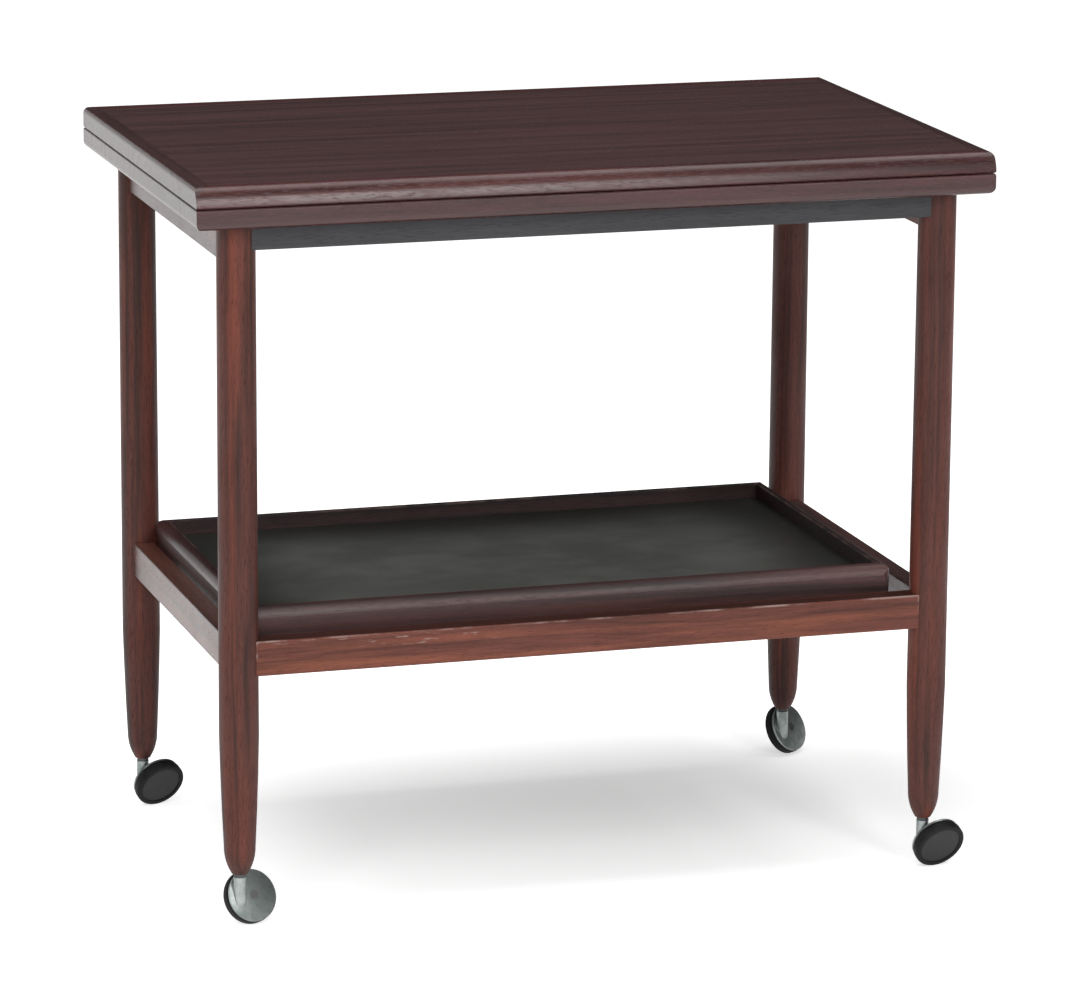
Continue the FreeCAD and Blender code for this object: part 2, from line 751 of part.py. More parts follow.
def castor_tyre():
    """The tyre with rounded shoulders, about its own axis."""
    inner = wheel_radius - tyre_depth + fit_gap
    outer = wheel_radius
    flat = outer - tyre_shoulder
    low = wheel_gap
    high = wheel_outer_s
    across = X_AXIS
    up = Z_AXIS
    return turned([
        line(Vector(inner, 0, low), Vector(flat, 0, low)),
        quarter_arc(Vector(flat, 0, low + tyre_shoulder), tyre_shoulder, -up, across),
        line(Vector(outer, 0, low + tyre_shoulder), Vector(outer, 0, high - tyre_shoulder)),
        quarter_arc(Vector(flat, 0, high - tyre_shoulder), tyre_shoulder, across, up),
        line(Vector(flat, 0, high), Vector(inner, 0, high)),
        line(Vector(inner, 0, high), Vector(inner, 0, low)),
    ])


def make_castors():
    """The four castors, each turned to its place under its leg."""
    pieces = {}
    for corner, (x, y) in CORNERS.items():
        hand = castor_hands[corner]
        parts = {
            "hood": castor_hood(hand),
            "stem": castor_stem(),
            "axle": tilted(castor_axle(), hand),
            "wheel": tilted(castor_wheel(), hand),
            "tyre": tilted(castor_tyre(), hand),
        }
        for kind, shape in parts.items():
            shape.rotate(Vector(0, 0, 0), Z_AXIS, castor_turns[corner])
            shape.translate(Vector(x, y, 0))
            pieces["castor_" + corner + "_" + kind] = shape
    return pieces


def make_trolley():
    """Every node of the trolley by its name."""
    rails = make_rails()
    nodes = make_legs()
    nodes.update(make_ledges(rails))
    nodes.update(rails)
    nodes["frame_dowels"] = Part.makeCompound(all_dowels(0))
    nodes["castor_sockets"] = Part.makeCompound(make_sockets())
    nodes.update(make_top())
    nodes.update(make_tray())
    nodes.update(make_castors())
    return nodes


os.makedirs("parts", exist_ok=True)
for node, shape in make_trolley().items():
    shape.translate(Vector(0, -origin_y, 0))
    shape.exportStep("parts/" + node + ".step")
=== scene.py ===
"""Looks of a fold-over tea trolley: rosewood leaves and frame, laminate tray, hooded castors."""

import logging
import math
from dataclasses import dataclass, field, replace
from enum import Enum
from typing import ClassVar

import bpy
from mathutils import Matrix, Vector


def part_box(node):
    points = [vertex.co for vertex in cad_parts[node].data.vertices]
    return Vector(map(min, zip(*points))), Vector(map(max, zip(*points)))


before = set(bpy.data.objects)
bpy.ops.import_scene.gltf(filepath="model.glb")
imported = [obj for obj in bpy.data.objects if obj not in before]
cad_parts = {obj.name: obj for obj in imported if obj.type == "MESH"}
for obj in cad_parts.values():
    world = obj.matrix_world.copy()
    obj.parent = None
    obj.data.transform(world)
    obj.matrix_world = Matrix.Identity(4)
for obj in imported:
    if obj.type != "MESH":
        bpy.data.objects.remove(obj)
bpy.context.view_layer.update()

CORNERS = ("front_left", "front_right", "back_left", "back_right")
LOG = logging.getLogger("trolley")

Triple = tuple[float, float, float]
Colour = Triple
Span = tuple[float, float]
Socket = bpy.types.NodeSocket
Feed = Socket | float | Triple

WHITE: Colour = (1.0, 1.0, 1.0)


class GrainAxis(Enum):
    """The way a board's grain runs, held as the turn that lays it along X."""

    LENGTH = (0.0, 0.0, 0.0)
    DEPTH = (0.0, 0.0, -math.pi / 2)
    HEIGHT = (0.0, math.pi / 2, 0.0)


def tinted(colour: Colour, share: float) -> Colour:
    """The colour at a share of its strength."""
    return tuple(share * part for part in colour)


@dataclass(frozen=True)
class Blots:
    """Soft noise: its blots to the metre along X, Y and Z, its finer layers and their strength."""

    counts: Triple
    layers: float = 2.0
    strength: float = 0.5


class NodeSheet:
    """Writes nodes into one shader tree and hands back their sockets."""

    MIX_SHARE = 0
    MIX_FIRST = 6
    MIX_SECOND = 7
    MIX_RESULT = 2

    def __init__(self, tree: bpy.types.NodeTree) -> None:
        """Take a tree and empty it.

        Args:
            tree: The material's, world's or group's node tree.
        """
        tree.nodes.clear()
        self.tree = tree

    def feed(self, socket: Socket, value: Feed) -> None:
        """Link a socket to another node's, or set it.

        Args:
            socket: The socket that is fed.
            value: The other node's socket, or a number, colour or vector.
        """
        if isinstance(value, bpy.types.NodeSocket):
            self.tree.links.new(value, socket)
        elif socket.type == "RGBA":
            socket.default_value = (*value, 1.0)
        else:
            socket.default_value = value

    def add(self, kind: str, feeds: dict[str | int, Feed] | None = None,
            **settings: object) -> bpy.types.Node:
        """Add one node.

        Args:
            kind: The node's type name.
            feeds: What goes into its sockets, by name or number.
            settings: The node's own properties.

        Returns:
            The new node.
        """
        node = self.tree.nodes.new(kind)
        for name, setting in settings.items():
            setattr(node, name, setting)
        for key, value in (feeds or {}).items():
            self.feed(node.inputs[key], value)
        return node

    def math(self, operation: str, *feeds: Feed) -> Socket:
        """Work out one sum of numbers.

        Args:
            operation: The sum's name.
            feeds: Its numbers, in order.

        Returns:
            The answer.
        """
        return self.add("ShaderNodeMath", dict(enumerate(feeds)), operation=operation).outputs[0]

    def vector(self, operation: str, *feeds: Feed) -> Socket:
        """Work out one sum of vectors.

        Args:
            operation: The sum's name.
            feeds: Its vectors, in order.

        Returns:
            The vector that comes out.
        """
        node = self.add("ShaderNodeVectorMath", dict(enumerate(feeds)), operation=operation)
        return node.outputs["Vector"]

    def split(self, vector: Socket) -> tuple[Socket, Socket, Socket]:
        """Take a vector apart.

        Args:
            vector: The vector.

        Returns:
            Its X, Y and Z.
        """
        node = self.add("ShaderNodeSeparateXYZ", {0: vector})
        return node.outputs[0], node.outputs[1], node.outputs[2]

    def length(self, first: Socket, second: Socket) -> Socket:
        """Work out how long two numbers at right angles are together.

        Args:
            first: The one number.
            second: The other number.

        Returns:
            The length.
        """
        squares = (self.math("POWER", number, 2.0) for number in (first, second))
        return self.math("SQRT", self.math("ADD", *squares))

    def noise(self, vector: Socket, blots: Blots) -> Socket:
        """Make soft noise.

        Args:
            vector: Where the noise is read, in metres.
            blots: How large its blots are, and how fine.

        Returns:
            The noise, about 0.5 on average.
        """
        place = self.vector("MULTIPLY", vector, blots.counts)
        feeds = {"Vector": place, "Scale": 1.0, "Detail": blots.layers, "Roughness": blots.strength}
        return self.add("ShaderNodeTexNoise", feeds).outputs[0]

    def step(self, value: Feed, low: float, high: float, start: Feed = 0.0,
             end: Feed = 1.0) -> Socket:
        """Ease from one value to another.

        Args:
            value: What is read.
            low: Where the change starts.
            high: Where it ends, above low or below it.
            start: The answer on low's side.
            end: The answer on high's side.

        Returns:
            The eased value.
        """
        feeds = {"Value": value, "From Min": low, "From Max": high, "To Min": start, "To Max": end}
        return self.add("ShaderNodeMapRange", feeds, interpolation_type="SMOOTHSTEP").outputs[0]

    def mix(self, share: Feed, first: Feed, second: Feed, blend: str = "MIX") -> Socket:
        """Mix two colours.

        Args:
            share: How much of the second there is.
            first: The colour at 0.
            second: The colour at 1.
            blend: How the second is laid on the first.

        Returns:
            The mixed colour.
        """
        feeds = {self.MIX_SHARE: share, self.MIX_FIRST: first, self.MIX_SECOND: second}
        node = self.add("ShaderNodeMix", feeds, data_type="RGBA", blend_type=blend)
        return node.outputs[self.MIX_RESULT]

    def place(self) -> Socket:
        """The point on the piece, in the trolley's own frame in metres."""
        return self.add("ShaderNodeTexCoord").outputs["Object"]


class GrainGroup:
    """The timber pattern that every board shares, as one node group."""

    NAME = "timber_grain"
    OUTPUTS = ("Tone", "Warmth", "Pores", "Fibre")
    RINGS_PER_METRE = 120.0
    RING_WANDER = 0.024
    RING_LAYERS = 4.0
    RING_STRENGTH = 0.62
    RING_SHARE = 0.40
    STREAK_SHARE = 0.60
    WANDERING = Blots((2.6, 11.0, 11.0), 3.0)
    STREAKS = Blots((3.2, 75.0, 75.0), 5.0, 0.62)
    WARMTH = Blots((2.4, 60.0, 60.0), 4.0, 0.58)
    WARMTH_SHIFT = (3.1, 1.7, 0.9)
    FIBRES = Blots((38.0, 1300.0, 1300.0))
    DASHES = Blots((110.0, 2300.0, 2300.0), 1.0)
    CROWDING = 0.22
    PORE_SPAN = (0.60, 0.70)

    @classmethod
    def tree(cls) -> bpy.types.NodeTree:
        """The group's tree, written on first use."""
        return bpy.data.node_groups.get(cls.NAME) or cls.write()

    @classmethod
    def write(cls) -> bpy.types.NodeTree:
        """Write the group: rings about a pith line along X, long streaks, fibres and pores.

        Returns:
            The new group's tree.
        """
        tree = bpy.data.node_groups.new(cls.NAME, "ShaderNodeTree")
        tree.interface.new_socket(name="Vector", in_out="INPUT", socket_type="NodeSocketVector")
        for name in cls.OUTPUTS:
            tree.interface.new_socket(name=name, in_out="OUTPUT", socket_type="NodeSocketFloat")
        sheet = NodeSheet(tree)
        point = sheet.add("NodeGroupInput").outputs[0]
        rings = cls.rings(sheet, point)
        streaks = sheet.math("MULTIPLY", sheet.noise(point, cls.STREAKS), cls.STREAK_SHARE)
        tone = sheet.math("MULTIPLY_ADD", rings, cls.RING_SHARE, streaks)
        warmth = sheet.noise(sheet.vector("ADD", point, cls.WARMTH_SHIFT), cls.WARMTH)
        fibre = sheet.noise(point, cls.FIBRES)
        dashes = sheet.math("SUBTRACT", sheet.noise(point, cls.DASHES), cls.CROWDING / 2)
        pores = sheet.step(sheet.math("MULTIPLY_ADD", rings, cls.CROWDING, dashes), *cls.PORE_SPAN)
        sheet.add("NodeGroupOutput", dict(zip(cls.OUTPUTS, (tone, warmth, pores, fibre))))
        return tree

    @classmethod
    def rings(cls, sheet: NodeSheet, point: Socket) -> Socket:
        """Draw the year rings.

        Args:
            sheet: The group's sheet.
            point: The point, from the pith line.

        Returns:
            The rings, pale and dark.
        """
        _, across, up = sheet.split(point)
        radius = sheet.length(across, up)
        wander = sheet.noise(point, cls.WANDERING)
        radius = sheet.math("MULTIPLY_ADD", wander, cls.RING_WANDER, radius)
        feeds = {"W": sheet.math("MULTIPLY", radius, cls.RINGS_PER_METRE), "Scale": 1.0,
                 "Detail": cls.RING_LAYERS, "Roughness": cls.RING_STRENGTH}
        return sheet.add("ShaderNodeTexNoise", feeds, noise_dimensions="1D").outputs[0]


@dataclass(frozen=True)
class Board:
    """A board while its material is written: sheet, point, box, grain and seed."""

    PITH_ALONG: ClassVar[float] = 0.83
    PITH_ACROSS: ClassVar[tuple[float, float, int]] = (0.055, 0.011, 4)
    PITH_UP: ClassVar[tuple[float, float, int]] = (0.075, -0.009, 5)

    sheet: NodeSheet
    place: Socket
    low: Vector
    high: Vector
    axis: GrainAxis
    seed: int

    def centred(self) -> Socket:
        """The point, from the board's middle."""
        return self.sheet.vector("SUBTRACT", self.place, tuple((self.low + self.high) / 2))

    def inset(self) -> tuple[Socket, Socket, Socket]:
        """Work out how deep the point lies inside the board's box.

        Returns:
            The depth from the nearer side along X, Y and Z.
        """
        offset = self.sheet.vector("ABSOLUTE", self.centred())
        half = tuple((self.high - self.low) / 2)
        return self.sheet.split(self.sheet.vector("SUBTRACT", half, offset))

    def pith(self) -> Triple:
        """Work out where the tree's middle lay beside the board.

        Returns:
            The shift from the board's middle to the pith line.
        """
        across, up = (
            start + change * (self.seed % turn)
            for start, change, turn in (self.PITH_ACROSS, self.PITH_UP)
        )
        return self.PITH_ALONG * self.seed, across, up

    def grain(self) -> tuple[Socket, Socket, Socket, Socket]:
        """Read the grain, turned along the board.

        Returns:
            The tone, the warmth, the pores and the fibre.
        """
        feeds = {"Vector": self.centred(), "Rotation": self.axis.value, "Location": self.pith()}
        turned = self.sheet.add("ShaderNodeMapping", feeds).outputs[0]
        group = self.sheet.add("ShaderNodeGroup", {0: turned}, node_tree=GrainGroup.tree())
        return tuple(group.outputs)


@dataclass(frozen=True)
class Scuff:
    """A rubbed patch on a board: its middle and half its size, in metres."""

    middle: Triple
    half: Triple


@dataclass(frozen=True)
class Finish:
    """What all finishes share: how they shine and how deep their texture is."""

    specular: float = 0.5
    lacquer: float = 0.0
    lacquer_roughness: float = 0.12
    bump_depth: float = 0.00012
    bump_strength: float = 0.35

    def start(self, name: str) -> tuple[bpy.types.Material, NodeSheet]:
        """Make an empty material.

        Args:
            name: The piece that it is for.

        Returns:
            The material and the sheet that writes its nodes.
        """
        material = bpy.data.materials.new(name)
        material.use_nodes = True
        return material, NodeSheet(material.node_tree)

    def close(self, sheet: NodeSheet, colour: Socket, roughness: Socket, height: Socket,
              metallic: float = 0.0) -> None:
        """Feed the maps into the shader, and set what is the same all over on its own sockets.

        Args:
            sheet: The material's sheet.
            colour: The colour map.
            roughness: The roughness map.
            height: The map of small heights.
            metallic: 1 for bare metal, 0 for the rest.
        """
        relief = {"Strength": self.bump_strength, "Distance": self.bump_depth, "Height": height}
        bump = sheet.add("ShaderNodeBump", relief)
        feeds = {
            "Base Color": colour,
            "Roughness": roughness,
            "Normal": bump.outputs[0],
            "Metallic": metallic,
            "Specular IOR Level": self.specular,
            "Coat Weight": self.lacquer,
            "Coat Roughness": self.lacquer_roughness,
        }
        shader = sheet.add("ShaderNodeBsdfPrincipled", feeds)
        sheet.add("ShaderNodeOutputMaterial", {"Surface": shader.outputs[0]})


@dataclass(frozen=True)
class Timber(Finish):
    """A wood finish: three tones, the gloss of its oil, its worn arrises with a painted highlight,
    and painted shade.
    """

    PORE_SHADE: ClassVar[float] = 0.35
    PORE_ROUGHNESS: ClassVar[float] = 0.16
    FIBRE_SPAN: ClassVar[Span] = (0.2, 0.8)
    FIBRE_LIGHT: ClassVar[Span] = (0.84, 1.16)
    SMEARS: ClassVar[Blots] = Blots((9.0, 13.0, 13.0), 3.0)
    SMEAR_SPAN: ClassVar[Span] = (0.3, 0.7)
    WAVES: ClassVar[Blots] = Blots((30.0, 55.0, 55.0), 1.0)
    WAVE_HEIGHT: ClassVar[float] = 0.5
    ARRIS_CORE: ClassVar[float] = 0.0003
    UPPER_SPAN: ClassVar[Span] = (-0.002, 0.002)
    ARRIS_PATCHES: ClassVar[Blots] = Blots((22.0, 40.0, 60.0), 4.0, 0.65)
    ARRIS_PATCH_SPAN: ClassVar[Span] = (0.44, 0.66)
    FLAT_SPAN: ClassVar[Span] = (0.0006, 0.0002)
    # Painted shade on a rail's top and underside: how far in from the arris it starts, and its
    # tint.
    PAINTED_SHADE_SPAN: ClassVar[Span] = (0.0006, 0.0020)
    PAINTED_SHADE_TINT: ClassVar[float] = 0.6
    SCUFF_SPAN: ClassVar[Span] = (1.0, 0.55)
    NICKS: ClassVar[Blots] = Blots((60.0, 300.0, 700.0), 3.0, 0.6)
    NICK_SPAN: ClassVar[Span] = (0.60, 0.68)

    dark: Colour = (0.030, 0.012, 0.010)
    body: Colour = (0.085, 0.034, 0.026)
    warm: Colour = (0.160, 0.056, 0.034)
    # The pale colour of scuffs, and of the upper arrises, where it is also a painted highlight.
    worn: Colour = (0.300, 0.190, 0.150)
    tone_span: Span = (0.36, 0.60)
    warm_span: Span = (0.46, 0.70)
    warm_strength: float = 0.75
    pore_strength: float = 0.55
    roughness: float = 0.40
    smear: float = 0.05
    # How pale the upper arrises grow: wear, and a painted highlight.
    wear_and_highlight: float = 0.0
    wear_and_highlight_width: float = 0.0022
    # How dark the painted shade on a rail's top and underside is.
    painted_shade: float = 0.0

    def lay(self, board: Board) -> tuple[Socket, Socket]:
        """Lay the grain on a board.

        Args:
            board: The board.

        Returns:
            The colour and the pores.
        """
        sheet = board.sheet
        tone, warmth, pores, fibre = board.grain()
        colour = sheet.mix(sheet.step(tone, *self.tone_span), self.dark, self.body)
        glow = sheet.step(warmth, *self.warm_span, 0.0, self.warm_strength)
        colour = sheet.mix(glow, colour, self.warm)
        filled = sheet.math("MULTIPLY", pores, self.pore_strength)
        colour = sheet.mix(filled, colour, tinted(self.dark, self.PORE_SHADE))
        light = sheet.step(fibre, *self.FIBRE_SPAN, *self.FIBRE_LIGHT)
        silk = sheet.add("ShaderNodeCombineXYZ", {0: light, 1: light, 2: light}).outputs[0]
        return sheet.mix(1.0, colour, silk, "MULTIPLY"), pores

    def face(self, board: Board) -> tuple[Socket, Socket]:
        """Lay the grain, and where set, the painted shade and the pale upper arrises, worn and with
        a painted highlight.

        Args:
            board: The board.

        Returns:
            The colour and the pores.
        """
        colour, pores = self.lay(board)
        # Painted shade: the rail's top and underside are darkened where the tray rim shades them.
        if self.painted_shade:
            colour = self.paint_shade(board, colour)
        if self.wear_and_highlight:
            colour = self.rub_and_paint_highlight(board, colour)
        return colour, pores

    def paint_shade(self, board: Board, colour: Socket) -> Socket:
        """Paint shade on the top and the underside of a rail, up to its arrises.

        Args:
            board: The rail.
            colour: The rail's colour.

        Returns:
            The colour with the painted shade on it.
        """
        sheet = board.sheet
        _, y, z = board.inset()
        flat = sheet.step(z, *self.FLAT_SPAN)
        inward = sheet.step(y, *self.PAINTED_SHADE_SPAN, 0.0, self.painted_shade)
        share = sheet.math("MULTIPLY", flat, inward)
        return sheet.mix(share, colour, tinted(self.dark, self.PAINTED_SHADE_TINT))

    def rub_and_paint_highlight(self, board: Board, colour: Socket) -> Socket:
        """Make the upper arrises of a squared board paler, here and there: wear, and a painted
        highlight where light falls on them.

        Args:
            board: The board.
            colour: The board's colour.

        Returns:
            The colour with the wear and the painted highlight on it.
        """
        sheet = board.sheet
        x, y, z = board.inset()
        # On an arris two of the three depths are small, so the middle one tells how near it is.
        either = sheet.math("MINIMUM", sheet.math("MAXIMUM", x, y), z)
        middle = sheet.math("MAXIMUM", sheet.math("MINIMUM", x, y), either)
        near = sheet.step(middle, self.wear_and_highlight_width, self.ARRIS_CORE)
        _, _, height = sheet.split(board.centred())
        # Only the upper arrises: wear, and a painted highlight where the light falls on them.
        upper = sheet.step(height, *self.UPPER_SPAN, 0.0, self.wear_and_highlight)
        arris = sheet.math("MULTIPLY", near, upper)
        patches = sheet.step(sheet.noise(board.place, self.ARRIS_PATCHES), *self.ARRIS_PATCH_SPAN)
        return sheet.mix(sheet.math("MULTIPLY", arris, patches), colour, self.worn)

    def scrape(self, board: Board, colour: Socket, scuff: Scuff) -> Socket:
        """Draw a scuffed patch of short pale scratches.

        Args:
            board: The board.
            colour: The board's colour.
            scuff: Where the patch is.

        Returns:
            The colour with the patch on it.
        """
        sheet = board.sheet
        offset = sheet.vector("SUBTRACT", board.place, scuff.middle)
        offset = sheet.vector("ABSOLUTE", sheet.vector("DIVIDE", offset, scuff.half))
        x, y, z = sheet.split(offset)
        reach = sheet.math("MAXIMUM", sheet.math("MAXIMUM", x, y), z)
        inside = sheet.step(reach, *self.SCUFF_SPAN)
        nicks = sheet.step(sheet.noise(board.place, self.NICKS), *self.NICK_SPAN)
        return sheet.mix(sheet.math("MULTIPLY", inside, nicks), colour, self.worn)

    def sheen(self, board: Board, pores: Socket) -> Socket:
        """Work out how rough the oiled surface is.

        Args:
            board: The board.
            pores: The pores.

        Returns:
            The roughness.
        """
        sheet = board.sheet
        smears = sheet.noise(board.place, self.SMEARS)
        ends = (self.roughness - self.smear, self.roughness + self.smear)
        handled = sheet.step(smears, *self.SMEAR_SPAN, *ends)
        return sheet.math("MULTIPLY_ADD", pores, self.PORE_ROUGHNESS, handled)

    def relief(self, board: Board, pores: Socket) -> Socket:
        """Work out the small heights of the surface: slow waves with the pores let in.

        Args:
            board: The board.
            pores: The pores.

        Returns:
            The height.
        """
        sheet = board.sheet
        waves = sheet.math("MULTIPLY", sheet.noise(board.place, self.WAVES), self.WAVE_HEIGHT)
        return sheet.math("SUBTRACT", waves, pores)

    def coat(self, node: str, axis: GrainAxis, seed: int,
             scuffs: tuple[Scuff, ...] = ()) -> bpy.types.Material:
        """Make the material of one board.

        Args:
            node: The board's name.
            axis: The way that its grain runs.
            seed: A number that tells it from the other boards.
            scuffs: Its rubbed patches.

        Returns:
            The material.
        """
        material, sheet = self.start(node)
        board = Board(sheet, sheet.place(), *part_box(node), axis, seed)
        colour, pores = self.face(board)
        for scuff in scuffs:
            colour = self.scrape(board, colour, scuff)
        self.close(sheet, colour, self.sheen(board, pores), self.relief(board, pores))
        return material


@dataclass(frozen=True)
class LippedVeneer(Timber):
    """A veneered board with mitred solid lippings round its edge."""

    MITRE_SPAN: ClassVar[Span] = (-0.00008, 0.00008)
    LIPPING_SPAN: ClassVar[Span] = (-0.0002, 0.0002)
    POLISH_SPAN: ClassVar[Span] = (-0.001, 0.003)
    JOINT_SHADE: ClassVar[float] = 0.3

    lipping: Timber = field(default_factory=Timber)
    end_lipping: Timber = field(default_factory=Timber)
    lipping_width: float = 0.0145
    joint_width: float = 0.0005
    joint_strength: float = 0.25

    def depth(self, board: Board) -> Socket:
        """Work out how far the point lies past the joint, towards the edge.

        Args:
            board: The leaf.

        Returns:
            The distance, above 0 on a lipping and below 0 on the veneer.
        """
        x, y, _ = board.inset()
        return board.sheet.math("SUBTRACT", self.lipping_width, board.sheet.math("MINIMUM", x, y))

    def face(self, board: Board) -> tuple[Socket, Socket]:
        """Lay the veneer, its lippings with their mitres, and the fine joint between them.

        Args:
            board: The leaf.

        Returns:
            The colour and the pores.
        """
        sheet = board.sheet
        veneer, pores = self.lay(board)
        along = replace(board, axis=GrainAxis.LENGTH, seed=board.seed + 1)
        across = replace(board, axis=GrainAxis.DEPTH, seed=board.seed + 2)
        long_edge, _ = self.lipping.lay(along)
        short_edge, _ = self.end_lipping.lay(across)
        x, y, _ = board.inset()
        on_end = sheet.step(sheet.math("SUBTRACT", y, x), *self.MITRE_SPAN)
        edge = sheet.mix(on_end, long_edge, short_edge)
        depth = self.depth(board)
        colour = sheet.mix(sheet.step(depth, *self.LIPPING_SPAN), veneer, edge)
        joint = sheet.step(sheet.math("ABSOLUTE", depth), self.joint_width, 0.0, 0.0,
                           self.joint_strength)
        return sheet.mix(joint, colour, tinted(self.dark, self.JOINT_SHADE)), pores

    def sheen(self, board: Board, pores: Socket) -> Socket:
        """Work out how rough the leaf is, with its lippings polished differently.

        Args:
            board: The leaf.
            pores: The pores.

        Returns:
            The roughness.
        """
        change = self.lipping.roughness - self.roughness
        polish = board.sheet.step(self.depth(board), *self.POLISH_SPAN, 0.0, change)
        return board.sheet.math("ADD", super().sheen(board, pores), polish)


@dataclass(frozen=True)
class Laminate(Finish):
    """Satin black laminate, with painted shade darkening it along its back and ends, a faint mottle
    and fine scratches.
    """

    CLOUDS: ClassVar[Blots] = Blots((11.0, 16.0, 16.0), 4.0, 0.6)
    CLOUD_SPAN: ClassVar[Span] = (0.32, 0.68)
    CLOUD_ROUGHNESS: ClassVar[Span] = (-0.04, 0.08)
    SCRATCHES: ClassVar[Blots] = Blots((14.0, 900.0, 900.0))
    SCRATCH_TURN: ClassVar[Triple] = (0.0, 0.0, 0.5)
    SCRATCH_SPAN: ClassVar[Span] = (0.69, 0.76)
    SCRATCH_STRENGTH: ClassVar[float] = 0.5
    GRIT: ClassVar[Blots] = Blots((900.0, 900.0, 900.0))

    # edge: the painted shade, near black, along the back and the ends.
    edge: Colour = (0.022, 0.023, 0.021)
    ground: Colour = (0.128, 0.132, 0.123)
    bloom: Colour = (0.165, 0.170, 0.158)
    scratch: Colour = (0.230, 0.236, 0.222)
    painted_shade_reach: float = 0.13
    roughness: float = 0.42

    def out_of_painted_shade(self, sheet: NodeSheet, place: Socket, node: str) -> Socket:
        """Find where the board is out of its painted shade: away from its back and its ends.

        Args:
            sheet: The material's sheet.
            place: The point on the board.
            node: The board's name.

        Returns:
            How far it is out of the painted shade, 0 to 1.
        """
        low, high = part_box(node)
        x, y, _ = sheet.split(place)
        left, right = sheet.math("SUBTRACT", x, low.x), sheet.math("SUBTRACT", high.x, x)
        ends = sheet.math("MINIMUM", left, right)
        back = sheet.math("SUBTRACT", high.y, y)
        fades = (sheet.step(inward, 0.0, self.painted_shade_reach) for inward in (ends, back))
        return sheet.math("MULTIPLY", *fades)

    def coat(self, node: str) -> bpy.types.Material:
        """Make the material of a laminate board.

        Args:
            node: The board's name.

        Returns:
            The material.
        """
        material, sheet = self.start(node)
        place = sheet.place()
        clouds = sheet.step(sheet.noise(place, self.CLOUDS), *self.CLOUD_SPAN)
        colour = sheet.mix(clouds, self.ground, self.bloom)
        turn = {"Vector": place, "Rotation": self.SCRATCH_TURN}
        turned = sheet.add("ShaderNodeMapping", turn).outputs[0]
        lines = sheet.noise(turned, self.SCRATCHES)
        marks = sheet.step(lines, *self.SCRATCH_SPAN, 0.0, self.SCRATCH_STRENGTH)
        colour = sheet.mix(marks, colour, self.scratch)
        # Painted shade: the board darkens to the edge colour along its back and ends, where the top
        # and rims shade it.
        colour = sheet.mix(self.out_of_painted_shade(sheet, place, node), self.edge, colour)
        ends = (self.roughness + change for change in self.CLOUD_ROUGHNESS)
        roughness = sheet.step(clouds, 0.0, 1.0, *ends)
        grit = sheet.noise(place, self.GRIT)
        self.close(sheet, colour, roughness, sheet.math("SUBTRACT", grit, marks))
        return material


@dataclass(frozen=True)
class PlatedMetal(Finish):
    """Bare or plated metal with a dulled mottle, fine brushing and tarnish."""

    BLOOM: ClassVar[Blots] = Blots((70.0, 70.0, 70.0), 5.0, 0.6)
    BLOOM_SPAN: ClassVar[Span] = (0.34, 0.70)
    BLOOM_ROUGHNESS: ClassVar[float] = 0.12
    SPECKS: ClassVar[Blots] = Blots((900.0, 900.0, 900.0))
    SPECK_SPAN: ClassVar[Span] = (0.64, 0.74)
    SPECK_STRENGTH: ClassVar[float] = 0.6
    SPECK_SHADE: ClassVar[float] = 0.45
    SPECK_ROUGHNESS: ClassVar[float] = 0.15
    BRUSHING: ClassVar[Blots] = Blots((260.0, 1800.0, 1800.0))

    bright: Colour = (0.36, 0.39, 0.38)
    dull: Colour = (0.21, 0.24, 0.23)
    roughness: float = 0.40
    bump_depth: float = 0.00004
    bump_strength: float = 0.25

    def coat(self, node: str) -> bpy.types.Material:
        """Make the material of a metal piece.

        Args:
            node: The piece's name.

        Returns:
            The material.
        """
        material, sheet = self.start(node)
        place = sheet.place()
        bloom = sheet.step(sheet.noise(place, self.BLOOM), *self.BLOOM_SPAN)
        colour = sheet.mix(bloom, self.bright, self.dull)
        dots = sheet.noise(place, self.SPECKS)
        specks = sheet.step(dots, *self.SPECK_SPAN, 0.0, self.SPECK_STRENGTH)
        colour = sheet.mix(specks, colour, tinted(self.dull, self.SPECK_SHADE))
        pitted = sheet.math("MULTIPLY", specks, self.SPECK_ROUGHNESS)
        worn = sheet.math("MULTIPLY_ADD", bloom, self.BLOOM_ROUGHNESS, pitted)
        roughness = sheet.math("ADD", worn, self.roughness)
        height = sheet.math("SUBTRACT", sheet.noise(place, self.BRUSHING), specks)
        self.close(sheet, colour, roughness, height, metallic=1.0)
        return material


@dataclass(frozen=True)
class Moulding(Finish):
    """Moulded black plastic or rubber, scuffed paler and a little dusty."""

    PATCHES: ClassVar[Blots] = Blots((120.0, 120.0, 120.0), 5.0, 0.65)
    PATCH_SPAN: ClassVar[Span] = (0.42, 0.72)
    PATCH_ROUGHNESS: ClassVar[float] = 0.25
    PEEL: ClassVar[Blots] = Blots((1500.0, 1500.0, 1500.0))

    ground: Colour = (0.009, 0.009, 0.010)
    scuffed: Colour = (0.034, 0.034, 0.034)
    dust: float = 0.5
    specular: float = 0.35
    roughness: float = 0.45
    bump_depth: float = 0.0001
    bump_strength: float = 0.3

    def coat(self, node: str) -> bpy.types.Material:
        """Make the material of a moulded piece.

        Args:
            node: The piece's name.

        Returns:
            The material.
        """
        material, sheet = self.start(node)
        place = sheet.place()
        patches = sheet.step(sheet.noise(place, self.PATCHES), *self.PATCH_SPAN, 0.0, self.dust)
        colour = sheet.mix(patches, self.ground, self.scuffed)
        roughness = sheet.math("MULTIPLY_ADD", patches, self.PATCH_ROUGHNESS, self.roughness)
        self.close(sheet, colour, roughness, sheet.noise(place, self.PEEL))
        return material


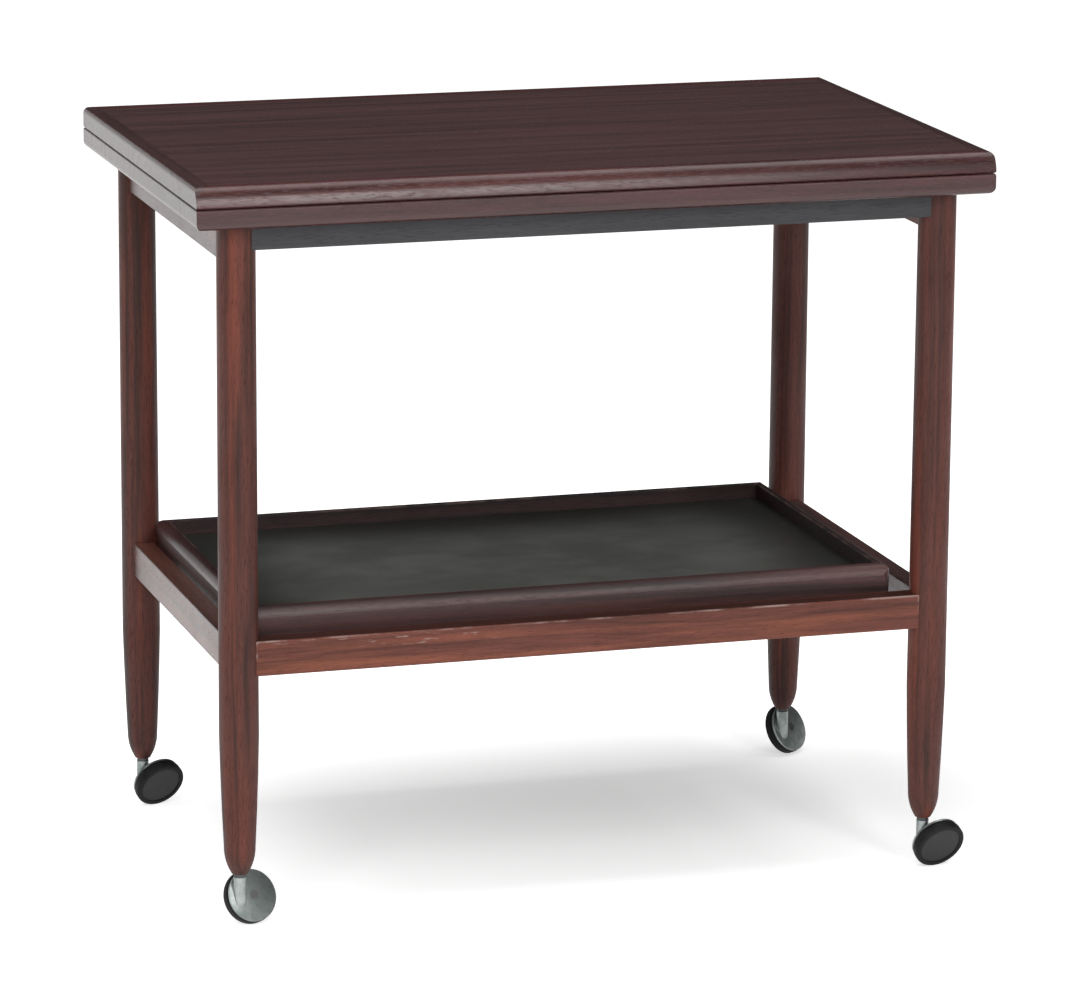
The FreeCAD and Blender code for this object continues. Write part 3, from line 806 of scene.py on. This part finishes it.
LEG_WOOD = Timber(
    dark=(0.032, 0.012, 0.009), body=(0.110, 0.034, 0.026), warm=(0.190, 0.050, 0.031),
    warm_strength=0.85, pore_strength=0.7, specular=0.28, roughness=0.54,
)
# The lower rails carry painted shade on top and underside, and pale upper arrises that are wear and
# a painted highlight.
RAIL_WOOD = Timber(
    dark=(0.060, 0.018, 0.013), body=(0.165, 0.050, 0.034), warm=(0.270, 0.085, 0.046),
    worn=(0.36, 0.26, 0.23), specular=0.26, roughness=0.44, wear_and_highlight=0.9, painted_shade=0.85,
)
END_WOOD = Timber(
    dark=(0.045, 0.017, 0.014), body=(0.110, 0.042, 0.032), warm=(0.170, 0.060, 0.038),
    specular=0.42, roughness=0.30, smear=0.03, wear_and_highlight=0.4,
)
RIM_WOOD = Timber(
    dark=(0.024, 0.011, 0.012), body=(0.066, 0.030, 0.029), warm=(0.102, 0.040, 0.034),
    specular=0.72, roughness=0.50, wear_and_highlight=0.4, wear_and_highlight_width=0.003,
)
SIDE_RIM_WOOD = replace(RIM_WOOD, specular=0.5, roughness=0.38, lacquer=0.15)
# A darker copy of the rim wood: painted shade for the back and the right rims, which lie in the
# top's shade.
SHADED_RIM_WOOD = replace(
    RIM_WOOD, specular=0.3,
    dark=(0.016, 0.009, 0.010), body=(0.036, 0.019, 0.020), warm=(0.052, 0.024, 0.023),
)
EDGE_WOOD = Timber(
    dark=(0.036, 0.014, 0.014), body=(0.072, 0.026, 0.025), warm=(0.104, 0.034, 0.031),
    specular=0.46, roughness=0.24,
)
LEAF_END_WOOD = replace(
    EDGE_WOOD,
    dark=(0.038, 0.020, 0.020), body=(0.060, 0.030, 0.030), warm=(0.078, 0.035, 0.034),
)
TOP_WOOD = LippedVeneer(
    dark=(0.0466, 0.0254, 0.0254), body=(0.072, 0.037, 0.037), warm=(0.091, 0.0424, 0.040),
    warm_strength=0.5, pore_strength=0.25, specular=0.42, roughness=0.27, smear=0.012,
    lipping=EDGE_WOOD, end_lipping=LEAF_END_WOOD,
)
STAINED_WOOD = Timber(
    dark=(0.022, 0.022, 0.025), body=(0.036, 0.036, 0.041), warm=(0.048, 0.046, 0.050),
    worn=(0.09, 0.085, 0.085), specular=0.4, roughness=0.5, wear_and_highlight=0.4,
)
RUNNER_WOOD = Timber(
    dark=(0.150, 0.085, 0.045), body=(0.300, 0.185, 0.105), warm=(0.380, 0.230, 0.125),
    worn=(0.45, 0.33, 0.22), specular=0.3, roughness=0.6, wear_and_highlight=0.4,
)
BEECH = Timber(
    dark=(0.380, 0.240, 0.140), body=(0.560, 0.390, 0.250), warm=(0.600, 0.400, 0.240),
    specular=0.3, roughness=0.6,
)
TRAY_LAMINATE = Laminate()
ZINC = PlatedMetal()
STEEL = PlatedMetal(bright=(0.60, 0.60, 0.59), dull=(0.40, 0.40, 0.40), roughness=0.25)
DARK_STEEL = PlatedMetal(bright=(0.10, 0.10, 0.10), dull=(0.05, 0.05, 0.05), roughness=0.45)
BRASS = PlatedMetal(bright=(0.72, 0.50, 0.22), dull=(0.45, 0.29, 0.12), roughness=0.24)
BRASS_SCREW = PlatedMetal(bright=(0.66, 0.45, 0.20), dull=(0.36, 0.23, 0.10), roughness=0.30)
WHEEL_PLASTIC = Moulding()
TYRE_RUBBER = Moulding(
    ground=(0.006, 0.006, 0.006), scuffed=(0.024, 0.024, 0.023), specular=0.2, roughness=0.6,
)


def dress(node: str, material: bpy.types.Material) -> None:
    """Give a carried-over solid its material.

    Args:
        node: The solid's name.
        material: What it is made of.
    """
    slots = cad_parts[node].data.materials
    slots.clear()
    slots.append(material)
    LOG.info("dressed %s", node)


@dataclass
class LegFrame:
    """The four legs with their rails, aprons, ledges, dowels and foot sockets."""

    leg_wood: Timber = LEG_WOOD
    apron_wood: Timber = STAINED_WOOD
    rail_wood: Timber = RAIL_WOOD
    left_woods: tuple[Timber, Timber] = (END_WOOD, END_WOOD)
    # The lower right rail takes the darker rim wood, as painted shade.
    right_woods: tuple[Timber, Timber] = (LEG_WOOD, RIM_WOOD)
    ledge_wood: Timber = LEG_WOOD
    dowel_wood: Timber = BEECH
    screw_metal: PlatedMetal = STEEL
    socket_metal: PlatedMetal = DARK_STEEL
    front_scuffs: tuple[Scuff, ...] = (
        Scuff((-0.155, -0.2113, 0.2615), (0.075, 0.004, 0.0045)),
        Scuff((-0.225, -0.2113, 0.2665), (0.090, 0.004, 0.0022)),
    )
    leg_seed: int = 3
    apron_seed: int = 11
    rail_seed: int = 14
    end_seed: int = 17
    ledge_seed: int = 22
    dowel_seed: int = 25

    def dress(self) -> None:
        """Dress every piece of the frame."""
        self.dress_legs()
        self.dress_long_rails()
        self.dress_end_rails()
        self.dress_hidden()

    def dress_legs(self) -> None:
        """Dress the turned legs, with their grain upright."""
        for number, corner in enumerate(CORNERS):
            node = "leg_" + corner
            dress(node, self.leg_wood.coat(node, GrainAxis.HEIGHT, self.leg_seed + number))

    def dress_long_rails(self) -> None:
        """Dress the aprons and rails along the front and the back."""
        scuffs = {"front": self.front_scuffs, "back": ()}
        for number, (side, marks) in enumerate(scuffs.items()):
            apron, rail = "upper_apron_" + side, "lower_rail_" + side
            seed = self.rail_seed + number
            dress(apron, self.apron_wood.coat(apron, GrainAxis.LENGTH, self.apron_seed + number))
            dress(rail, self.rail_wood.coat(rail, GrainAxis.LENGTH, seed, marks))

    def dress_end_rails(self) -> None:
        """Dress the upper and lower rails at the two ends."""
        seed = self.end_seed
        for side, woods in {"left": self.left_woods, "right": self.right_woods}.items():
            for row, wood in zip(("upper", "lower"), woods):
                node = f"{row}_rail_{side}"
                dress(node, wood.coat(node, GrainAxis.DEPTH, seed))
                seed += 1

    def dress_hidden(self) -> None:
        """Dress what the tray and the legs hide."""
        for number, side in enumerate(("front", "back")):
            node = "tray_ledge_" + side
            dress(node, self.ledge_wood.coat(node, GrainAxis.LENGTH, self.ledge_seed + number))
        dowels = self.dowel_wood.coat("frame_dowels", GrainAxis.LENGTH, self.dowel_seed)
        dress("frame_dowels", dowels)
        dress("tray_ledge_screws", self.screw_metal.coat("tray_ledge_screws"))
        dress("castor_sockets", self.socket_metal.coat("castor_sockets"))


@dataclass
class FoldTop:
    """The two leaves with the hinges between them and the runners below."""

    veneer: LippedVeneer = TOP_WOOD
    runner_wood: Timber = RUNNER_WOOD
    hinge_metal: PlatedMetal = BRASS
    hinge_screw_metal: PlatedMetal = BRASS_SCREW
    runner_screw_metal: PlatedMetal = STEEL
    leaf_seeds: tuple[int, int] = (30, 34)
    runner_seed: int = 40

    def dress(self) -> None:
        """Dress the leaves, runners, hinges and screws."""
        for node, seed in zip(("upper_leaf", "lower_leaf"), self.leaf_seeds):
            dress(node, self.veneer.coat(node, GrainAxis.LENGTH, seed))
        for number, side in enumerate(("left", "right")):
            runner = "slide_runner_" + side
            dress(runner, self.runner_wood.coat(runner, GrainAxis.DEPTH, self.runner_seed + number))
            for part in ("fixed_plate", "moving_plate", "pin"):
                node = f"hinge_{side}_{part}"
                dress(node, self.hinge_metal.coat(node))
        for node in ("hinge_fixed_screws", "hinge_moving_screws"):
            dress(node, self.hinge_screw_metal.coat(node))
        dress("slide_runner_screws", self.runner_screw_metal.coat("slide_runner_screws"))


@dataclass
class ServingTray:
    """The loose tray: four mitred rims round a laminate board."""

    front_rim: Timber = RIM_WOOD
    # The back and right rims take the darker rim wood, as painted shade.
    back_rim: Timber = SHADED_RIM_WOOD
    left_rim: Timber = SIDE_RIM_WOOD
    right_rim: Timber = SHADED_RIM_WOOD
    board: Laminate = TRAY_LAMINATE
    rim_seed: int = 45

    def dress(self) -> None:
        """Dress the rims, each along its own length, and the board."""
        rims = (
            ("front", self.front_rim, GrainAxis.LENGTH),
            ("back", self.back_rim, GrainAxis.LENGTH),
            ("left", self.left_rim, GrainAxis.DEPTH),
            ("right", self.right_rim, GrainAxis.DEPTH),
        )
        for number, (side, wood, axis) in enumerate(rims):
            node = "tray_rim_" + side
            dress(node, wood.coat(node, axis, self.rim_seed + number))
        dress("tray_board", self.board.coat("tray_board"))


@dataclass
class CastorSet:
    """The four castors: hood, stem, axle, wheel and tyre under each leg."""

    hood: PlatedMetal = ZINC
    stem: PlatedMetal = STEEL
    axle: PlatedMetal = STEEL
    wheel: Moulding = WHEEL_PLASTIC
    tyre: Moulding = TYRE_RUBBER

    def dress(self) -> None:
        """Dress every piece of each castor."""
        finishes = {"hood": self.hood, "stem": self.stem, "axle": self.axle,
                    "wheel": self.wheel, "tyre": self.tyre}
        for corner in CORNERS:
            for part, finish in finishes.items():
                node = f"castor_{corner}_{part}"
                dress(node, finish.coat(node))


@dataclass(frozen=True)
class Softbox:
    """One soft lamp: where it hangs, what it points at, its size and its power in watts."""

    name: str
    spot: Triple
    aim: Triple
    size: Span
    power: float

    def hang(self) -> None:
        """Hang the lamp and turn it to its aim."""
        data = bpy.data.lights.new(self.name, "AREA")
        data.shape = "RECTANGLE"
        data.size, data.size_y = self.size
        data.energy = self.power
        lamp = bpy.data.objects.new(self.name, data)
        way = Vector(self.aim) - Vector(self.spot)
        turn = way.to_track_quat("-Z", "Y").to_matrix().to_4x4()
        lamp.matrix_world = Matrix.Translation(self.spot) @ turn
        bpy.context.scene.collection.objects.link(lamp)


@dataclass
class Studio:
    """The pale floor with its wall and screen, the soft lamps and the camera."""

    floor_radius: float = 30.0
    floor_sides: int = 96
    floor_tone: float = 0.82
    wall_height: float = 0.8
    wall_glow: float = 0.9
    screen_height: float = 9.0
    screen_span: Span = (94.0, 150.0)
    # An oval of painted shadow under the trolley: its middle, its stretch along Y, its reach and
    # its glow.
    painted_shadow_middle: Span = (0.145, 0.02)
    painted_shadow_stretch: float = 2.0
    painted_shadow_reach: float = 1.09
    painted_shadow_glow: float = 0.362
    # Far to the left the floor glows brighter than white: a painted reflection in the trolley's
    # left faces.
    left_span: Span = (-0.7, -1.3)
    left_reflection_glow: float = 1.45
    ambient: float = 0.025
    lens: float = 177.58
    camera_sight: float = 100.0
    camera_spot: Triple = (-1.43563, -4.70494, 1.49966)
    camera_yaw: float = 17.11
    camera_pitch: float = 13.35
    camera_roll: float = 0.4
    lamps: tuple[Softbox, ...] = (
        Softbox("overhead_softbox", (-0.25, -0.15, 2.7), (-0.25, -0.10, 0.3), (4.2, 1.5), 60.0),
        Softbox("left_softbox", (-1.6, -3.4, 3.2), (0.0, 0.0, 0.3), (2.8, 2.0), 98.0),
        Softbox("right_softbox", (0.85, -3.9, 2.2), (0.2, 0.0, 0.6), (1.1, 2.2), 65.0),
    )

    def build(self) -> None:
        """Set up the floor, the light and the camera."""
        bpy.context.scene.view_settings.view_transform = "Standard"
        self.lay_floor()
        self.light()
        self.stand_camera()

    def lay_floor(self) -> None:
        """Lay a round floor with a low wall and a tall screen far off."""
        sides = self.floor_sides
        turns = [360.0 * side / sides for side in range(sides)]
        ring = [
            (self.floor_radius * math.cos(angle), self.floor_radius * math.sin(angle))
            for angle in map(math.radians, turns)
        ]
        start, stop = self.screen_span
        tops = [self.screen_height if start <= turn <= stop else self.wall_height for turn in turns]
        points = [(*spot, 0.0) for spot in ring] + [(*spot, top) for spot, top in zip(ring, tops)]
        after = [(side + 1) % sides for side in range(sides)]
        faces = [tuple(range(sides))]
        faces += [(side, side + sides, after[side] + sides, after[side]) for side in range(sides)]
        mesh = bpy.data.meshes.new("studio_floor")
        mesh.from_pydata(points, [], faces)
        mesh.materials.append(self.floor_material())
        floor = bpy.data.objects.new("studio_floor", mesh)
        bpy.context.scene.collection.objects.link(floor)
        LOG.info("laid %s", floor.name)

    def floor_glow(self, sheet: NodeSheet) -> Socket:
        """Work out how bright the floor looks: dimmed by a painted shadow under the trolley, and
        brightest far to the left, a painted reflection in the left faces.

        Args:
            sheet: The floor material's sheet.

        Returns:
            The glow of the floor, and of the wall and screen above it.
        """
        x, y, z = sheet.split(sheet.place())
        across = sheet.math("SUBTRACT", x, self.painted_shadow_middle[0])
        along = sheet.math("SUBTRACT", y, self.painted_shadow_middle[1])
        along = sheet.math("MULTIPLY", along, self.painted_shadow_stretch)
        reach = sheet.length(across, along)
        # Painted shadow: the glow is dimmed in an oval under the trolley.
        painted_shadow = sheet.step(reach, 0.0, self.painted_shadow_reach, self.painted_shadow_glow, 1.0)
        # Painted reflection: the floor far to the left glows brighter than white.
        left = sheet.step(x, *self.left_span, 1.0, self.left_reflection_glow)
        floor = sheet.math("MULTIPLY", painted_shadow, left)
        return sheet.step(z, 0.0, self.wall_height, floor, self.wall_glow)

    def floor_material(self) -> bpy.types.Material:
        """Make a pale floor that looks white but keeps the shadow.

        Returns:
            The material.
        """
        material = bpy.data.materials.new("studio_floor")
        material.use_nodes = True
        sheet = NodeSheet(material.node_tree)
        path = sheet.add("ShaderNodeLightPath").outputs
        seen = sheet.math("MAXIMUM", path["Is Camera Ray"], path["Is Glossy Ray"])
        seen = sheet.math("MAXIMUM", seen, path["Is Transmission Ray"])
        glow = sheet.math("MULTIPLY", self.floor_glow(sheet), seen)
        light = sheet.add("ShaderNodeEmission", {"Color": WHITE, "Strength": glow})
        paint = sheet.add("ShaderNodeBsdfDiffuse", {"Color": tinted(WHITE, self.floor_tone)})
        both = sheet.add("ShaderNodeAddShader", {0: light.outputs[0], 1: paint.outputs[0]})
        sheet.add("ShaderNodeOutputMaterial", {"Surface": both.outputs[0]})
        return material

    def light(self) -> None:
        """Hang the lamps and give the room its dim grey."""
        for lamp in self.lamps:
            lamp.hang()
        world = bpy.data.worlds.new("studio")
        world.use_nodes = True
        sheet = NodeSheet(world.node_tree)
        grey = sheet.add("ShaderNodeBackground", {"Color": WHITE, "Strength": self.ambient})
        sheet.add("ShaderNodeOutputWorld", {"Surface": grey.outputs[0]})
        bpy.context.scene.world = world

    def stand_camera(self) -> None:
        """Stand the camera where the photograph was taken from."""
        angles = (self.camera_yaw, self.camera_pitch, self.camera_roll)
        yaw, pitch, roll = (math.radians(angle) for angle in angles)
        ahead = Vector((
            math.sin(yaw) * math.cos(pitch), math.cos(yaw) * math.cos(pitch), -math.sin(pitch),
        ))
        level = Vector((math.cos(yaw), -math.sin(yaw), 0.0))
        upright = level.cross(ahead)
        right = math.cos(roll) * level + math.sin(roll) * upright
        up = math.cos(roll) * upright - math.sin(roll) * level
        data = bpy.data.cameras.new("photo_camera")
        data.lens = self.lens
        data.clip_end = self.camera_sight
        camera = bpy.data.objects.new("photo_camera", data)
        turn = Matrix((right, up, -ahead)).transposed().to_4x4()
        camera.matrix_world = Matrix.Translation(self.camera_spot) @ turn
        bpy.context.scene.collection.objects.link(camera)
        bpy.context.scene.camera = camera


def main() -> None:
    """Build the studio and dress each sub-assembly."""
    logging.basicConfig(level=logging.INFO, format="%(name)s: %(message)s")
    Studio().build()
    for assembly in (LegFrame(), FoldTop(), ServingTray(), CastorSet()):
        assembly.dress()


if __name__ == "__main__":
    main()
